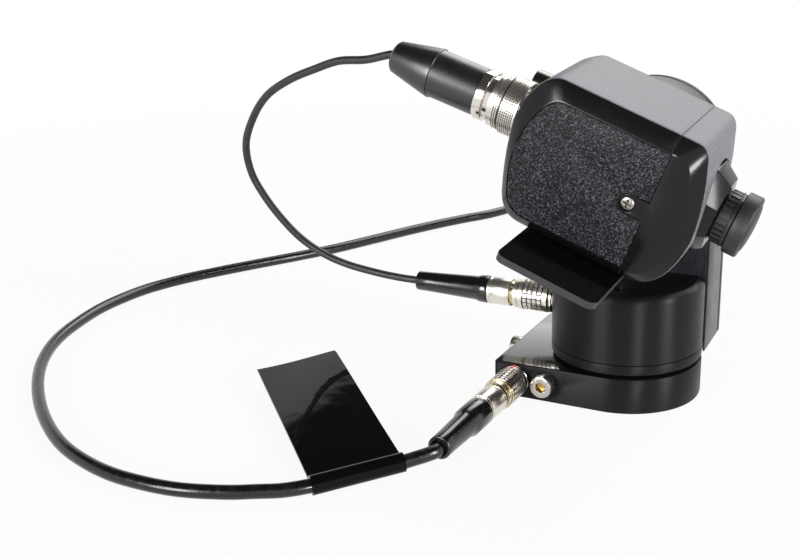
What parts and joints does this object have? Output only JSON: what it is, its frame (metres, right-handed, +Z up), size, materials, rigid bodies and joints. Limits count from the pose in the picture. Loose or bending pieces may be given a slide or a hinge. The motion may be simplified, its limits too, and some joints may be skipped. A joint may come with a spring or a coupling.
{
  "type": "remote pan tilt head",
  "caption": "Small motorised pan and tilt head: block base, turning drum, side arm and tilting bracket carrying a box camera, with locking cable plugs.",
  "frame": {"origin": "on the pan axis, at the underside of the base", "axes": "+Z up along the pan axis, +X along the base's front edge from its square end to its round end, +Y from the base's front face towards the upright arm"},
  "size_m": [0.2425, 0.3564, 0.1069],
  "materials": {
    "black_anodised": "black anodised, satin",
    "grey_grain": "dark grey anodised, fine grain",
    "sparkle_panel": "charcoal sparkle coat",
    "nickel": "bright nickel plate",
    "steel": "stainless steel",
    "dark_steel": "dark plated steel",
    "brass": "plain brass",
    "rubber": "black, slightly glossy rubber",
    "cable_grey": "matte dark grey jacket",
    "cable_black": "glossy black jacket",
    "tape": "glossy black tape",
    "glass": "coated lens glass",
    "board_green": "green circuit board"
  },
  "bodies": {
    "base": {"base_plate": "black_anodised", "base_cover": "black_anodised", "base_cover_screw_a": "steel", "base_cover_screw_b": "steel", "base_front_screw": "steel", "base_side_screw": "steel", "pan_spindle": "steel", "pan_sun_gear": "brass", "data_socket": "nickel", "data_plug_body": "nickel", "data_plug_boot": "rubber", "data_cable": "cable_black", "data_cable_coil": "cable_black", "label_flag": "tape", "far_plug_body": "nickel", "far_plug_boot": "rubber"},
    "data_plug_latch": {"data_plug_sleeve": "nickel"},
    "far_plug_latch": {"far_plug_sleeve": "nickel"},
    "pan_head": {"head_housing": "black_anodised", "drum_top_screw": "steel", "drum_floor": "black_anodised", "drum_floor_screw_a": "steel", "drum_floor_screw_b": "steel", "drum_floor_screw_c": "steel", "pan_bush": "brass", "pan_motor": "dark_steel", "arm_cover": "black_anodised", "arm_cover_screw_a": "steel", "arm_cover_screw_b": "steel", "arm_cover_screw_c": "steel", "tilt_bush": "brass", "tilt_motor": "dark_steel", "control_board": "board_green", "link_socket": "nickel", "link_plug_body": "nickel", "link_plug_boot": "rubber", "link_cable": "cable_grey"},
    "pan_drive_pinion": {"pan_pinion": "steel"},
    "tilt_drive_pinion": {"tilt_pinion": "steel"},
    "link_plug_latch": {"link_plug_sleeve": "nickel"},
    "tilt_head": {"tilt_bracket": "black_anodised", "tilt_shaft": "steel", "tilt_wheel": "brass", "camera_mount_screw": "steel", "camera_front_shell": "grey_grain", "camera_rear_shell": "grey_grain", "camera_panel_near": "sparkle_panel", "camera_panel_far": "sparkle_panel", "camera_screw_near": "dark_steel", "camera_screw_far": "dark_steel", "lens_neck": "black_anodised", "lens_barrel": "black_anodised", "lens_glass": "glass", "power_socket": "nickel", "power_plug_body": "nickel", "power_plug_boot": "rubber", "coax_socket": "dark_steel"},
    "power_plug_collar": {"power_plug_ring": "nickel"},
    "focus": {"focus_ring": "black_anodised"},
    "cap": {"lens_cap": "rubber"}
  },
  "joints": [
    {"name": "pan", "type": "hinge", "parent": "base", "child": "pan_head", "pos_m": [0, 0, 0], "axis": [0, 0, 1], "range_deg": [-172.2, 167.8]},
    {"name": "tilt", "type": "hinge", "parent": "pan_head", "child": "tilt_head", "pos_m": [0, 0, 0.07], "axis": [-0.0391, 0.9992, 0], "range_deg": [-66.8, 23.2]},
    {"name": "pan_pinion_spin", "type": "hinge", "parent": "pan_head", "child": "pan_drive_pinion", "pos_m": [0.00903, -0.00835, 0.017], "axis": [0, 0, 1], "range_deg": [-517, 504]},
    {"name": "tilt_pinion_spin", "type": "hinge", "parent": "pan_head", "child": "tilt_drive_pinion", "pos_m": [0, 0, 0.0547], "axis": [-0.0391, 0.9992, 0], "range_deg": [-93, 268]},
    {"name": "data_plug_pull", "type": "slide", "parent": "base", "child": "data_plug_latch", "axis": [0, -1, 0], "range_m": [0, 0.0011]},
    {"name": "far_plug_pull", "type": "slide", "parent": "base", "child": "far_plug_latch", "axis": [0, 1, 0], "range_m": [0, 0.0011]},
    {"name": "link_plug_pull", "type": "slide", "parent": "pan_head", "child": "link_plug_latch", "axis": [-0.9992, -0.0391, 0], "range_m": [0, 0.0011]},
    {"name": "power_collar_pull", "type": "slide", "parent": "tilt_head", "child": "power_plug_collar", "axis": [-0.946, -0.035, 0.3223], "range_m": [0, 0.0016]},
    {"name": "focus_turn", "type": "hinge", "parent": "tilt_head", "child": "focus", "pos_m": [0.00267, -0.01894, 0.07482], "axis": [0.9278, 0.0363, -0.3714], "range_deg": [-120, 120]},
    {"name": "cap_off", "type": "slide", "parent": "tilt_head", "child": "cap", "axis": [0.9278, 0.0363, -0.3714], "range_m": [0, 0.012]}
  ],
  "couplings": [
    {"joint": "pan_pinion_spin", "follows": "pan", "ratio": 3},
    {"joint": "tilt_pinion_spin", "follows": "tilt", "ratio": -4}
  ]
}
